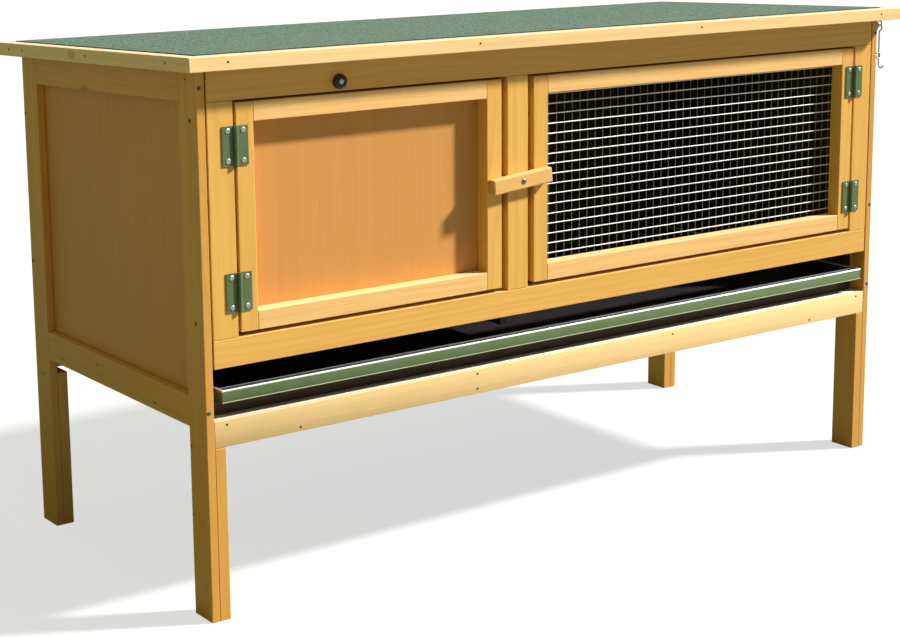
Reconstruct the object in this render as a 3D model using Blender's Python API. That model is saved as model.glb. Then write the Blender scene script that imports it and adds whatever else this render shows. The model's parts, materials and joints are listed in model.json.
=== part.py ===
"""A single-storey rabbit hutch on four legs, with a hinged felt roof, two doors, a turn latch and a tray.

The hutch stands on z = 0 and is centred on the origin. Its front faces -Y and its right side is +X.
"""

import math

import bmesh
import bpy
from mathutils import Matrix, Vector

# ---- Overall size, in metres ----
OVERALL_WIDTH = 1.130  # the roof, side to side
OVERALL_DEPTH = 0.500  # the roof, front to back
OVERALL_HEIGHT = 0.646  # floor to the roof's front edge
ROOF_DROP = 0.0215  # how much lower the roof's back edge is
JOINT_GAP = 0.0003  # the joint line between two pieces that touch

# ---- Roof ----
SIDE_OVERHANG = 0.023
FRONT_OVERHANG = 0.030
REAR_OVERHANG = 0.020
FASCIA_HEIGHT = 0.016
FASCIA_FRONT_WIDTH = 0.026
FASCIA_SIDE_WIDTH = 0.019
FASCIA_REAR_WIDTH = 0.010
ROOF_BOARD = 0.0077
FELT = 0.002
FELT_PROUD = 0.001

# ---- Side frames and legs ----
STILE_THICKNESS = 0.010
STILE_DEPTH = 0.040
LEG_THICKNESS = 0.0135
SIDE_TOP_RAIL = 0.042
SIDE_BOTTOM_RAIL = 0.036
SIDE_BOTTOM_RAIL_Z = 0.223
PANEL = 0.0035
PANEL_LAP = 0.012  # how far a wall panel reaches down behind its bottom rail

# ---- Front frame ----
FRAME_DEPTH = 0.020
FRAME_SIDE_GAP = 0.002
FRONT_STILE_WIDTH = 0.032
FRONT_TOP_RAIL = 0.042
MID_RAIL = 0.0325
MID_RAIL_Z = 0.2948
BOTTOM_RAIL = 0.0316
BOTTOM_RAIL_Z = 0.2038
BOTTOM_RAIL_DEPTH = 0.024
POST_WIDTH = 0.0313
POST_X = -0.1038

# ---- Back ----
REAR_RAIL_DEPTH = 0.012
REAR_TOP_RAIL = 0.042
REAR_BOTTOM_RAIL = 0.036

# ---- Doors ----
DOOR_MEMBER = 0.022
DOOR_DEPTH = 0.020
DOOR_HINGE_GAP = 0.0036
DOOR_LATCH_GAP = 0.0093
DOOR_TOP_GAP = 0.003
DOOR_BOTTOM_GAP = 0.005
DOOR_PANEL_LAP = 0.010
MESH_SHEET = 0.002

# ---- Hinges ----
HINGE_HEIGHT = 0.044
LEAF_WIDTH = 0.0161
LEAF_THICKNESS = 0.0012
BARREL_RADIUS = 0.0026
PIN_RADIUS = 0.0012
PIN_CLEARANCE = 0.0004
KNUCKLE_GAP = 0.0004
PIN_PROUD = 0.0005
HINGE_INSET = 0.047  # door end to the middle of its hinge
ROOF_HINGE_INSET = 0.190  # body end to the middle of a roof hinge
ROOF_LEAF_WIDTH = 0.0105

# ---- Turn latch ----
LATCH_LENGTH = 0.090
LATCH_HEIGHT = 0.0185
LATCH_THICKNESS = 0.012
LATCH_Z = 0.4645
LATCH_TILT = math.radians(5.4)
LATCH_ROUND = 0.0015

# ---- Tray, its rest and its runners ----
TRAY_HEIGHT = 0.0153
TRAY_Z = 0.2551
TRAY_WALL = 0.0012
TRAY_LIP = 0.014
TRAY_PROUD = 0.002
TRAY_SIDE_CLEARANCE = 0.006
TRAY_BACK_CLEARANCE = 0.008
TRAY_REST_DEPTH = 0.016
RUNNER_WIDTH = 0.016
RUNNER_HEIGHT = 0.018

# ---- Divider ----
DIVIDER = 0.009
DIVIDER_FRONT_CLEARANCE = 0.006
DIVIDER_TRAY_CLEARANCE = 0.006
DOORWAY_WIDTH = 0.170
DOORWAY_HEIGHT = 0.200
DOORWAY_BACK_INSET = 0.060
ARCH_STEPS = 12

# ---- Bumper on the top rail ----
BUMPER_RADIUS = 0.0086
BUMPER_DEPTH = 0.007
BUMPER_RECESS_RADIUS = 0.0042
BUMPER_RECESS_DEPTH = 0.0016
BUMPER_X = -0.3605
BUMPER_RISE = 0.0025  # above the rail's lower edge
BUMPER_RIM = 0.35  # the straight part of its side, as a share of its depth
BUMPER_STEPS = 24

# ---- Roof hook ----
HOOK_WIRE_RADIUS = 0.0011
EYE_RADIUS = 0.0042
HOOK_LENGTH = 0.058
HOOK_CURL_RADIUS = 0.0045
HOOK_SETBACK = 0.009  # from the body's front face
EYE_STEM = 0.003
EYE_SWEEP = 318  # degrees of wire in the fixed eye
HOOK_EYE_SWEEP = 312
HOOK_EYE_PLAY = 0.6  # slack between the two eyes, in wire radii
HOOK_CURL_SWEEP = 170
EYE_STEPS = 18
CURL_STEPS = 10
SHANK_STEPS = 4

EDGE_ROUND = 0.0007
CIRCLE_STEPS = 16
BORE_STEPS = 12
CUT_MARGIN = 0.010  # how far a cutter reaches past what it cuts

# ---- Places worked out from the sizes ----
SLOPE = math.atan(ROOF_DROP / OVERALL_DEPTH)
HALF_ROOF = OVERALL_WIDTH / 2
HALF_BODY = HALF_ROOF - SIDE_OVERHANG
FRONT = -OVERALL_DEPTH / 2 + FRONT_OVERHANG
REAR = OVERALL_DEPTH / 2 - REAR_OVERHANG
INNER = HALF_BODY - STILE_THICKNESS  # inside face of a side frame
WALL = INNER - JOINT_GAP - PANEL  # inside face of a side panel
BACK_WALL = REAR - REAR_RAIL_DEPTH - JOINT_GAP - PANEL
ROOF_EDGE = -OVERALL_DEPTH / 2 + FASCIA_HEIGHT * math.sin(SLOPE)
ROOF_LENGTH = (OVERALL_DEPTH - FASCIA_HEIGHT * math.sin(SLOPE)) / math.cos(SLOPE)
BOARD_TOP = FELT_PROUD - FELT - JOINT_GAP
BOARD_UNDER = BOARD_TOP - ROOF_BOARD


def body_top(y, below=0.0):
    """The height of the body's sloping top at depth y, or of a line parallel to it and lower."""
    roof_top = OVERALL_HEIGHT - math.tan(SLOPE) * (y - ROOF_EDGE)
    return roof_top + (BOARD_UNDER - JOINT_GAP) / math.cos(SLOPE) - below


def flat_roof_point(y, z):
    """A world (y, z) as distances along and above the flat roof, measured from its front top edge."""
    dy, dz = y - ROOF_EDGE, z - OVERALL_HEIGHT
    return dy * math.cos(SLOPE) - dz * math.sin(SLOPE), dy * math.sin(SLOPE) + dz * math.cos(SLOPE)


FRONT_RAIL_UNDER = body_top(FRONT) - FRONT_TOP_RAIL
DOOR_TOP = FRONT_RAIL_UNDER - DOOR_TOP_GAP
DOOR_BOTTOM = MID_RAIL_Z + MID_RAIL + DOOR_BOTTOM_GAP
FRAME_END = INNER - FRAME_SIDE_GAP
OPENING_SIDE = FRAME_END - FRONT_STILE_WIDTH
HINGE_Y = FRONT - JOINT_GAP - BARREL_RADIUS
HINGE_HEIGHTS = (DOOR_TOP - HINGE_INSET, DOOR_BOTTOM + HINGE_INSET)

# The roof turns about its hinges' pins, behind the body's back face and under the roof board.
PIN_Y = REAR + JOINT_GAP + BARREL_RADIUS
PIN_ALONG = flat_roof_point(PIN_Y, body_top(PIN_Y))[0]
PIN_ABOVE = BOARD_UNDER - JOINT_GAP - BARREL_RADIUS
PIN_Z = OVERALL_HEIGHT - PIN_ALONG * math.sin(SLOPE) + PIN_ABOVE * math.cos(SLOPE)
PIN_WORLD_Y = ROOF_EDGE + PIN_ALONG * math.cos(SLOPE) + PIN_ABOVE * math.sin(SLOPE)

# ---- Ways that a hinge leaf is laid: each is a turn, and the pin of a leaf starts along Z ----
TO_RIGHT = Matrix.Identity(4)
TO_LEFT = Matrix.Diagonal((-1, 1, -1, 1))
HANGING = Matrix(((0, 0, -1, 0), (0, -1, 0, 0), (-1, 0, 0, 0), (0, 0, 0, 1)))
FORWARD_UNDER_ROOF = Matrix(((0, 0, -1, 0), (-1, 0, 0, 0), (0, 1, 0, 0), (0, 0, 0, 1)))

# ---- Finishes: colour, roughness, metallic ----
HONEY = (0.80, 0.47, 0.15, 1), 0.55, 0.0
CREAM = (0.90, 0.68, 0.34, 1), 0.55, 0.0
PLY = (0.68, 0.38, 0.13, 1), 0.50, 0.0
FELT_GREEN = (0.16, 0.32, 0.22, 1), 0.95, 0.0
PAINT_GREEN = (0.13, 0.24, 0.11, 1), 0.45, 0.0
ZINC = (0.62, 0.62, 0.60, 1), 0.35, 0.9
BLACK = (0.02, 0.02, 0.02, 1), 0.50, 0.0


def clear_scene():
    """Removes what the scene holds."""
    for item in list(bpy.data.objects):
        bpy.data.objects.remove(item, do_unlink=True)


def make_group(name, origin, flat_origin=None, tilt=None):
    """An empty on a joint's axis. Its pieces are drawn in a frame where the empty lies at flat_origin."""
    empty = bpy.data.objects.new(name, None)
    empty.empty_display_size = 0.03
    empty.location = origin
    if tilt:
        empty.rotation_euler = tilt
    bpy.context.scene.collection.objects.link(empty)
    return empty, Vector(flat_origin if flat_origin else origin)


def give_finish(data, name, finish):
    """Gives a mesh or a curve its own material."""
    colour, roughness, metallic = finish
    material = bpy.data.materials.new(name + "_finish")
    material.use_nodes = True
    shader = material.node_tree.nodes["Principled BSDF"]
    shader.inputs["Base Color"].default_value = colour
    shader.inputs["Roughness"].default_value = roughness
    shader.inputs["Metallic"].default_value = metallic
    data.materials.clear()
    data.materials.append(material)


def add_piece(name, mesh, finish, group=None, rounded=EDGE_ROUND, smooth=False):
    """Links a mesh as a named piece with its origin in its middle, its own material and rounded edges."""
    corners = [vertex.co for vertex in mesh.vertices]
    middle = sum(corners, Vector()) / len(corners)
    mesh.transform(Matrix.Translation(-middle))
    mesh.name = name
    item = bpy.data.objects.new(name, mesh)
    bpy.context.scene.collection.objects.link(item)
    if group:
        item.parent = group[0]
        item.location = middle - group[1]
    else:
        item.location = middle
    give_finish(mesh, name, finish)
    if rounded:
        bevel = item.modifiers.new("edge_round", "BEVEL")
        bevel.width = rounded
        bevel.segments = 2
        bevel.limit_method = "ANGLE"
    if smooth:
        mesh.shade_smooth()
        mesh.set_sharp_from_angle(angle=math.radians(40))


def mesh_of(work):
    """A new mesh from a bmesh, with its normals facing out."""
    bmesh.ops.recalc_face_normals(work, faces=work.faces)
    mesh = bpy.data.meshes.new("shape")
    work.to_mesh(mesh)
    work.free()
    return mesh


def height_at(level, y):
    """A level is a number, or a function of depth where the piece slopes with the roof."""
    return level(y) if callable(level) else level


def block(x0, x1, y0, y1, low, high):
    """A board between two x, two y and two levels."""
    work = bmesh.new()
    corners = []
    for level in (low, high):
        for x, y in ((x0, y0), (x1, y0), (x1, y1), (x0, y1)):
            corners.append(work.verts.new((x, y, height_at(level, y))))
    under, over = corners[:4], corners[4:]
    work.faces.new(under)
    work.faces.new(over)
    for side in range(4):
        after = (side + 1) % 4
        work.faces.new((under[side], under[after], over[after], over[side]))
    return mesh_of(work)


def extrude_outline(points, direction):
    """A prism: a flat outline of 3-D points, extruded by a vector."""
    work = bmesh.new()
    face = work.faces.new([work.verts.new(point) for point in points])
    made = bmesh.ops.extrude_face_region(work, geom=[face])
    moved = [item for item in made["geom"] if isinstance(item, bmesh.types.BMVert)]
    bmesh.ops.translate(work, verts=moved, vec=direction)
    return mesh_of(work)


def rod(radius, low, high, steps):
    """A round bar along Z between two heights."""
    work = bmesh.new()
    bmesh.ops.create_cone(
        work, cap_ends=True, segments=steps, radius1=radius, radius2=radius, depth=high - low
    )
    bmesh.ops.translate(work, verts=work.verts, vec=(0, 0, (low + high) / 2))
    return mesh_of(work)


def turn_profile(profile):
    """A solid turned about Z from (radius, height) points, with flat ends."""
    work = bmesh.new()
    rings = []
    angles = [math.tau * step / CIRCLE_STEPS for step in range(CIRCLE_STEPS)]
    for radius, height in profile:
        corners = [(radius * math.cos(angle), radius * math.sin(angle), height) for angle in angles]
        rings.append([work.verts.new(corner) for corner in corners])
    work.faces.new(rings[0])
    work.faces.new(rings[-1])
    for lower, upper in zip(rings, rings[1:]):
        for step in range(CIRCLE_STEPS):
            after = (step + 1) % CIRCLE_STEPS
            work.faces.new((lower[step], lower[after], upper[after], upper[step]))
    return mesh_of(work)


def combine(base, joined=(), cut=()):
    """The mesh that is left after joining some solids to a base and cutting others from it."""
    helpers = [bpy.data.objects.new("base", base)]
    bpy.context.scene.collection.objects.link(helpers[0])
    for operation, solids in (("UNION", joined), ("DIFFERENCE", cut)):
        for solid in solids:
            helper = bpy.data.objects.new("cutter", solid)
            helper.hide_render = True
            helper.display_type = "WIRE"
            bpy.context.scene.collection.objects.link(helper)
            step = helpers[0].modifiers.new(operation.lower(), "BOOLEAN")
            step.operation = operation
            step.solver = "EXACT"
            step.object = helper
            helpers.append(helper)
    graph = bpy.context.evaluated_depsgraph_get()
    mesh = bpy.data.meshes.new_from_object(helpers[0].evaluated_get(graph))
    for helper in helpers:
        bpy.data.objects.remove(helper, do_unlink=True)
    return mesh


def build_side(side, word):
    """A side frame: two stiles that run down as legs, two rails and a panel nailed inside them."""
    outer, inner = side * HALF_BODY, side * INNER
    rail_front = FRONT + STILE_DEPTH + JOINT_GAP
    rail_rear = REAR - STILE_DEPTH - JOINT_GAP
    stiles = (("front", FRONT, FRONT + STILE_DEPTH), ("rear", REAR - STILE_DEPTH, REAR))
    for end, y0, y1 in stiles:
        add_piece(f"side_stile_{end}_{word}", block(outer, inner, y0, y1, 0, body_top), HONEY)
    under = lambda y: body_top(y, SIDE_TOP_RAIL)
    top_rail = block(outer, inner, rail_front, rail_rear, under, body_top)
    add_piece(f"side_top_rail_{word}", top_rail, HONEY)
    low, high = SIDE_BOTTOM_RAIL_Z, SIDE_BOTTOM_RAIL_Z + SIDE_BOTTOM_RAIL
    bottom_rail = block(outer, inner, rail_front, rail_rear, low, high)
    add_piece(f"side_bottom_rail_{word}", bottom_rail, HONEY)
    panel = block(
        side * (INNER - JOINT_GAP),
        side * WALL,
        FRONT + max(FRAME_DEPTH, BOTTOM_RAIL_DEPTH) + JOINT_GAP,
        REAR - REAR_RAIL_DEPTH - JOINT_GAP,
        SIDE_BOTTOM_RAIL_Z + SIDE_BOTTOM_RAIL - PANEL_LAP,
        body_top,
    )
    add_piece(f"side_panel_{word}", panel, PLY, rounded=0)


def build_legs(side, word):
    """The inner leg pieces, beside the stiles, that the front and back bottom rails stand on."""
    outer = side * (INNER - JOINT_GAP)
    inner = side * (INNER - JOINT_GAP - LEG_THICKNESS)
    top = BOTTOM_RAIL_Z - JOINT_GAP
    add_piece(f"leg_front_{word}", block(outer, inner, FRONT, FRONT + STILE_DEPTH, 0, top), HONEY)
    add_piece(f"leg_rear_{word}", block(outer, inner, REAR - STILE_DEPTH, REAR, 0, top), HONEY)


def build_front_frame():
    """The fixed frame that the doors hang in, and the rail under the tray."""
    back = FRONT + FRAME_DEPTH
    stile_low, stile_high = MID_RAIL_Z + MID_RAIL + JOINT_GAP, FRONT_RAIL_UNDER - JOINT_GAP
    top_rail = block(-FRAME_END, FRAME_END, FRONT, back, FRONT_RAIL_UNDER, body_top)
    add_piece("front_top_rail", top_rail, HONEY)
    mid_rail = block(-FRAME_END, FRAME_END, FRONT, back, MID_RAIL_Z, MID_RAIL_Z + MID_RAIL)
    add_piece("front_mid_rail", mid_rail, HONEY)
    for side, word in ((-1, "left"), (1, "right")):
        stile = block(side * FRAME_END, side * OPENING_SIDE, FRONT, back, stile_low, stile_high)
        add_piece(f"front_stile_{word}", stile, HONEY)
    post = block(POST_X - POST_WIDTH / 2, POST_X + POST_WIDTH / 2, FRONT, back, stile_low, stile_high)
    add_piece("centre_post", post, HONEY)
    ends = INNER - JOINT_GAP
    low, high = BOTTOM_RAIL_Z, BOTTOM_RAIL_Z + BOTTOM_RAIL
    bottom_rail = block(-ends, ends, FRONT, FRONT + BOTTOM_RAIL_DEPTH, low, high)
    add_piece("front_bottom_rail", bottom_rail, CREAM)


def build_back():
    """The back rails, level with the back of the stiles, and the panel inside them."""
    ends, rail_front = INNER - JOINT_GAP, REAR - REAR_RAIL_DEPTH
    top_rail = block(-ends, ends, rail_front, REAR, lambda y: body_top(y, REAR_TOP_RAIL), body_top)
    recesses = []
    for centre in roof_hinge_centres():
        half = HINGE_HEIGHT / 2 + JOINT_GAP
        low = body_top(REAR, LEAF_THICKNESS + JOINT_GAP)
        y0, y1 = rail_front - CUT_MARGIN, REAR + CUT_MARGIN
        recesses.append(block(centre - half, centre + half, y0, y1, low, low + 2 * CUT_MARGIN))
    add_piece("rear_top_rail", combine(top_rail, cut=recesses), HONEY, rounded=0)
    bottom_rail = block(-ends, ends, rail_front, REAR, BOTTOM_RAIL_Z, BOTTOM_RAIL_Z + REAR_BOTTOM_RAIL)
    add_piece("rear_bottom_rail", bottom_rail, HONEY)
    half = WALL - JOINT_GAP
    low = BOTTOM_RAIL_Z + REAR_BOTTOM_RAIL - PANEL_LAP
    panel = block(-half, half, BACK_WALL, BACK_WALL + PANEL, low, body_top)
    add_piece("back_panel", panel, PLY, rounded=0)


def build_divider():
    """The wall between the closed and the wire-fronted rooms, with an arched doorway."""
    y0 = FRONT + FRAME_DEPTH + PANEL + JOINT_GAP + DIVIDER_FRONT_CLEARANCE
    y1 = BACK_WALL - JOINT_GAP
    low = TRAY_Z + TRAY_HEIGHT + DIVIDER_TRAY_CLEARANCE
    x0, x1 = POST_X - DIVIDER / 2, POST_X + DIVIDER / 2
    wall = block(x0, x1, y0, y1, low, body_top)
    middle = y1 - DOORWAY_BACK_INSET - DOORWAY_WIDTH / 2
    radius = DOORWAY_WIDTH / 2
    spring = low + DOORWAY_HEIGHT - radius
    start, under = x0 - CUT_MARGIN, low - CUT_MARGIN
    outline = [(start, middle + radius, under), (start, middle - radius, under)]
    for step in range(ARCH_STEPS + 1):
        angle = math.pi * (1 - step / ARCH_STEPS)
        outline.append((start, middle + radius * math.cos(angle), spring + radius * math.sin(angle)))
    doorway = extrude_outline(outline, Vector((DIVIDER + 2 * CUT_MARGIN, 0, 0)))
    add_piece("divider", combine(wall, cut=[doorway]), PLY, rounded=0)


def build_tray_supports():
    """The rest behind the bottom rail and the two runners that carry the tray."""
    top = TRAY_Z - JOINT_GAP
    rest_y = FRONT + BOTTOM_RAIL_DEPTH + JOINT_GAP
    ends = WALL - JOINT_GAP
    rest = block(-ends, ends, rest_y, rest_y + TRAY_REST_DEPTH - JOINT_GAP, BOTTOM_RAIL_Z, top)
    add_piece("tray_rest", rest, HONEY)
    for side, word in ((-1, "left"), (1, "right")):
        outer = side * (WALL - JOINT_GAP)
        runner = block(
            outer,
            outer - side * RUNNER_WIDTH,
            rest_y + TRAY_REST_DEPTH,
            BACK_WALL - JOINT_GAP,
            top - RUNNER_HEIGHT,
            top,
        )
        add_piece(f"tray_runner_{word}", runner, HONEY)


def build_tray():
    """A shallow metal pan with a hollow lip along its front."""
    half = WALL - TRAY_SIDE_CLEARANCE
    y0, y1 = FRONT - TRAY_PROUD, BACK_WALL - TRAY_BACK_CLEARANCE
    low, high = TRAY_Z, TRAY_Z + TRAY_HEIGHT
    group = make_group("tray_slide", (0, y0, low))
    shell = block(-half, half, y0, y1, low, high)
    inside = half - TRAY_WALL
    floor, lip_back = low + TRAY_WALL, y0 + TRAY_LIP
    pan = block(-inside, inside, lip_back, y1 - TRAY_WALL, floor, high + CUT_MARGIN)
    under_lip = block(-inside, inside, y0 + TRAY_WALL, lip_back + CUT_MARGIN, floor, high - TRAY_WALL)
    add_piece("tray", combine(shell, cut=[pan, under_lip]), PAINT_GREEN, group, rounded=0)


def hinge_leaf(half_height, width, knuckles, holds_pin):
    """One leaf of a butt hinge, its pin along Z, flat to +X and with its back face at y = BARREL_RADIUS."""
    clear = BARREL_RADIUS + KNUCKLE_GAP
    back = BARREL_RADIUS
    # The leaf's outline is a comb: it reaches the pin at its own knuckles and is cut back at the others.
    outline = [(width, back, -half_height), (width, back, half_height)]
    for low, high in reversed(knuckles):
        outline += [(clear, back, high), (0, back, high), (0, back, low), (clear, back, low)]
    if knuckles[-1][1] < half_height:
        outline.insert(2, (clear, back, half_height))
    if knuckles[0][0] > -half_height:
        outline.append((clear, back, -half_height))
    corners = [point for place, point in enumerate(outline) if point not in outline[:place]]
    leaf = extrude_outline(corners, Vector((0, -LEAF_THICKNESS, 0)))
    if not holds_pin:
        barrel = rod(BARREL_RADIUS, *knuckles[0], CIRCLE_STEPS)
        bore = rod(PIN_RADIUS + PIN_CLEARANCE, -half_height, half_height, BORE_STEPS)
        return combine(leaf, [barrel], [bore])
    profile = [(PIN_RADIUS, -half_height - PIN_PROUD)]
    for low, high in knuckles:
        profile += [(PIN_RADIUS, low), (BARREL_RADIUS, low), (BARREL_RADIUS, high), (PIN_RADIUS, high)]
    profile.append((PIN_RADIUS, half_height + PIN_PROUD))
    return combine(turn_profile(profile), [leaf])


def hinge_pair(half_height, width, other_width):
    """The fixed leaf, which holds the pin in two knuckles, and the moving leaf with the middle knuckle."""
    third = half_height / 3
    outer = ((-half_height, -third - KNUCKLE_GAP / 2), (third + KNUCKLE_GAP / 2, half_height))
    middle = ((-third + KNUCKLE_GAP / 2, third - KNUCKLE_GAP / 2),)
    fixed = hinge_leaf(half_height, width, outer, True)
    moving = hinge_leaf(half_height, other_width, middle, False)
    return fixed, moving


def place_leaf(name, mesh, centre, turn, group=None):
    """Turns a copy of a leaf and puts it at its hinge's centre."""
    copy = mesh.copy()
    copy.transform(Matrix.Translation(centre) @ turn)
    add_piece(name, copy, PAINT_GREEN, group, rounded=0, smooth=True)


def build_door(word, x0, x1, hinge_side):
    """A door of four members with a board or a wire sheet behind them, and its two hinges."""
    left_hung = hinge_side < 0
    axis_x = x0 - DOOR_HINGE_GAP / 2 if left_hung else x1 + DOOR_HINGE_GAP / 2
    group = make_group(f"{word}_door_axis", (axis_x, HINGE_Y, DOOR_BOTTOM))
    back = FRONT + DOOR_DEPTH
    rail_x0, rail_x1 = x0 + DOOR_MEMBER + JOINT_GAP, x1 - DOOR_MEMBER - JOINT_GAP
    stiles = ((x0, x0 + DOOR_MEMBER), (x1 - DOOR_MEMBER, x1))
    names = ("hinge_stile", "latch_stile") if left_hung else ("latch_stile", "hinge_stile")
    for name, (a, b) in zip(names, stiles):
        stile = block(a, b, FRONT, back, DOOR_BOTTOM, DOOR_TOP)
        add_piece(f"{word}_door_{name}", stile, HONEY, group)
    rails = (("bottom_rail", DOOR_BOTTOM), ("top_rail", DOOR_TOP - DOOR_MEMBER))
    for name, low in rails:
        rail = block(rail_x0, rail_x1, FRONT, back, low, low + DOOR_MEMBER)
        add_piece(f"{word}_door_{name}", rail, HONEY, group)
    inset = DOOR_MEMBER - DOOR_PANEL_LAP
    sheet = PANEL if left_hung else MESH_SHEET
    infill = block(
        x0 + inset,
        x1 - inset,
        back + JOINT_GAP,
        back + JOINT_GAP + sheet,
        DOOR_BOTTOM + inset,
        DOOR_TOP - inset,
    )
    infill_name, finish = ("panel", PLY) if left_hung else ("wire_mesh", ZINC)
    add_piece(f"{word}_door_{infill_name}", infill, finish, group, rounded=0)
    fixed, moving = hinge_pair(HINGE_HEIGHT / 2, LEAF_WIDTH, LEAF_WIDTH)
    frame_turn, door_turn = (TO_LEFT, TO_RIGHT) if left_hung else (TO_RIGHT, TO_LEFT)
    for level, height in zip(("upper", "lower"), HINGE_HEIGHTS):
        centre = Vector((axis_x, HINGE_Y, height))
        name = f"{word}_door_{level}_hinge"
        place_leaf(name + "_frame_leaf", fixed, centre, frame_turn)
        place_leaf(name + "_door_leaf", moving, centre, door_turn, group)


def build_latch():
    """The wooden turn latch across the centre post, turning on a screw."""
    middle_y = FRONT - JOINT_GAP - LATCH_THICKNESS / 2
    centre = Vector((POST_X, middle_y, LATCH_Z))
    group = make_group("turn_latch_axis", centre, tilt=(0, -LATCH_TILT, 0))
    half, rise = LATCH_LENGTH / 2, LATCH_HEIGHT / 2
    bar = block(
        centre.x - half,
        centre.x + half,
        centre.y - LATCH_THICKNESS / 2,
        centre.y + LATCH_THICKNESS / 2,
        centre.z - rise,
        centre.z + rise,
    )
    add_piece("turn_latch", bar, CREAM, group, rounded=LATCH_ROUND)


def roof_hinge_centres():
    """Where the two roof hinges stand along the back."""
    place = HALF_BODY - ROOF_HINGE_INSET
    return -place, place


def build_roof():
    """The roof board and felt in a mitred frame of fascia strips, all drawn flat and then tilted."""
    flat_pin = (0, PIN_ALONG, PIN_ABOVE)
    group = make_group("roof_axis", (0, PIN_WORLD_Y, PIN_Z), flat_pin, (-SLOPE, 0, 0))
    inner_x = HALF_ROOF - FASCIA_SIDE_WIDTH
    inner_front, inner_rear = FASCIA_FRONT_WIDTH, ROOF_LENGTH - FASCIA_REAR_WIDTH
    rise = Vector((0, 0, FASCIA_HEIGHT))
    ends = (("front", 0, inner_front), ("rear", ROOF_LENGTH, inner_rear))
    for word, outer, inner in ends:
        outline = (
            (-HALF_ROOF, outer, -FASCIA_HEIGHT),
            (HALF_ROOF, outer, -FASCIA_HEIGHT),
            (inner_x, inner, -FASCIA_HEIGHT),
            (-inner_x, inner, -FASCIA_HEIGHT),
        )
        add_piece(f"fascia_{word}", extrude_outline(outline, rise), CREAM, group)
    for side, word in ((-1, "left"), (1, "right")):
        mitre = 2 * JOINT_GAP
        outline = (
            (side * HALF_ROOF, mitre, -FASCIA_HEIGHT),
            (side * HALF_ROOF, ROOF_LENGTH - mitre, -FASCIA_HEIGHT),
            (side * inner_x, inner_rear - mitre, -FASCIA_HEIGHT),
            (side * inner_x, inner_front + mitre, -FASCIA_HEIGHT),
        )
        add_piece(f"fascia_{word}", extrude_outline(outline, rise), CREAM, group)
    x, y0, y1 = inner_x - JOINT_GAP, inner_front + JOINT_GAP, inner_rear - JOINT_GAP
    board = block(-x, x, y0, y1, BOARD_UNDER, BOARD_TOP)
    add_piece("roof_board", board, PLY, group, rounded=0)
    felt = block(-x, x, y0, y1, FELT_PROUD - FELT, FELT_PROUD)
    add_piece("roof_felt", felt, FELT_GREEN, group, rounded=0)
    build_roof_hinges(group)
    build_hook(group)


def build_roof_hinges(group):
    """Two hinges: fixed leaves on the back of the rear top rail, moving leaves under the roof board."""
    fixed, moving = hinge_pair(HINGE_HEIGHT / 2, LEAF_WIDTH, ROOF_LEAF_WIDTH)
    for word, x in zip(("left", "right"), roof_hinge_centres()):
        name = f"roof_hinge_{word}"
        place_leaf(name + "_frame_leaf", fixed, Vector((x, PIN_WORLD_Y, PIN_Z)), HANGING)
        # The moving leaf is drawn in the roof's flat frame.
        flat_centre = Vector((x, PIN_ALONG, PIN_ABOVE))
        place_leaf(name + "_roof_leaf", moving, flat_centre, FORWARD_UNDER_ROOF, group)


def wire(name, points, group):
    """A bent zinc wire through points, drawn relative to its group's empty."""
    curve = bpy.data.curves.new(name, "CURVE")
    curve.dimensions = "3D"
    curve.bevel_depth = HOOK_WIRE_RADIUS
    curve.bevel_resolution = 2
    curve.use_fill_caps = True
    spline = curve.splines.new("POLY")
    spline.points.add(len(points) - 1)
    for place, point in zip(spline.points, points):
        place.co = (*(Vector(point) - group[1]), 1)
    item = bpy.data.objects.new(name, curve)
    bpy.context.scene.collection.objects.link(item)
    item.parent = group[0]
    give_finish(curve, name, ZINC)


def arc(centre, radius, start, end, steps, plane):
    """Points along an arc in the plane of two unit vectors, from one angle to another in degrees."""
    across, up = (Vector(axis) for axis in plane)
    angles = [math.radians(start + (end - start) * step / steps) for step in range(steps + 1)]
    return [Vector(centre) + radius * (math.cos(a) * across + math.sin(a) * up) for a in angles]


def build_hook(roof_group):
    """A screw eye under the right fascia and the wire hook that swings in it."""
    x = HALF_ROOF - FASCIA_SIDE_WIDTH / 2
    along = flat_roof_point(FRONT + HOOK_SETBACK, OVERALL_HEIGHT)[0]
    stem_top = Vector((x, along, -FASCIA_HEIGHT - JOINT_GAP))
    ring = stem_top - Vector((0, 0, EYE_STEM + EYE_RADIUS))
    eye_points = [stem_top]
    eye_points += arc(ring, EYE_RADIUS, 90, 90 - EYE_SWEEP, EYE_STEPS, ((1, 0, 0), (0, 0, 1)))
    wire("roof_hook_eye", eye_points, roof_group)
    # The hook's own eye hangs on the bottom of the ring; the pivot is the ring's lowest wire.
    flat_pivot = ring - Vector((0, 0, EYE_RADIUS))
    offset = Matrix.Rotation(-SLOPE, 3, "X") @ (flat_pivot - roof_group[1])
    group = make_group("roof_hook_axis", roof_group[0].location + offset, (0, 0, 0))
    plane = ((0, -1, 0), (0, 0, 1))
    eye_drop = EYE_RADIUS - (2 + HOOK_EYE_PLAY) * HOOK_WIRE_RADIUS
    eye_centre = Vector((0, 0, -eye_drop))
    eye_points = arc(eye_centre, EYE_RADIUS, -90, -90 + HOOK_EYE_SWEEP, EYE_STEPS, plane)
    points = list(reversed(eye_points))
    bend_z = -HOOK_LENGTH + HOOK_CURL_RADIUS
    shank_top = eye_centre.z - EYE_RADIUS - EYE_STEM
    for step in range(SHANK_STEPS + 1):
        points.append(Vector((0, 0, shank_top + (bend_z - shank_top) * step / SHANK_STEPS)))
    curl_centre = Vector((0, -HOOK_CURL_RADIUS, bend_z))
    curl_end = 180 + HOOK_CURL_SWEEP
    points += arc(curl_centre, HOOK_CURL_RADIUS, 180, curl_end, CURL_STEPS, plane)[1:]
    wire("roof_hook", points, group)


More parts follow.
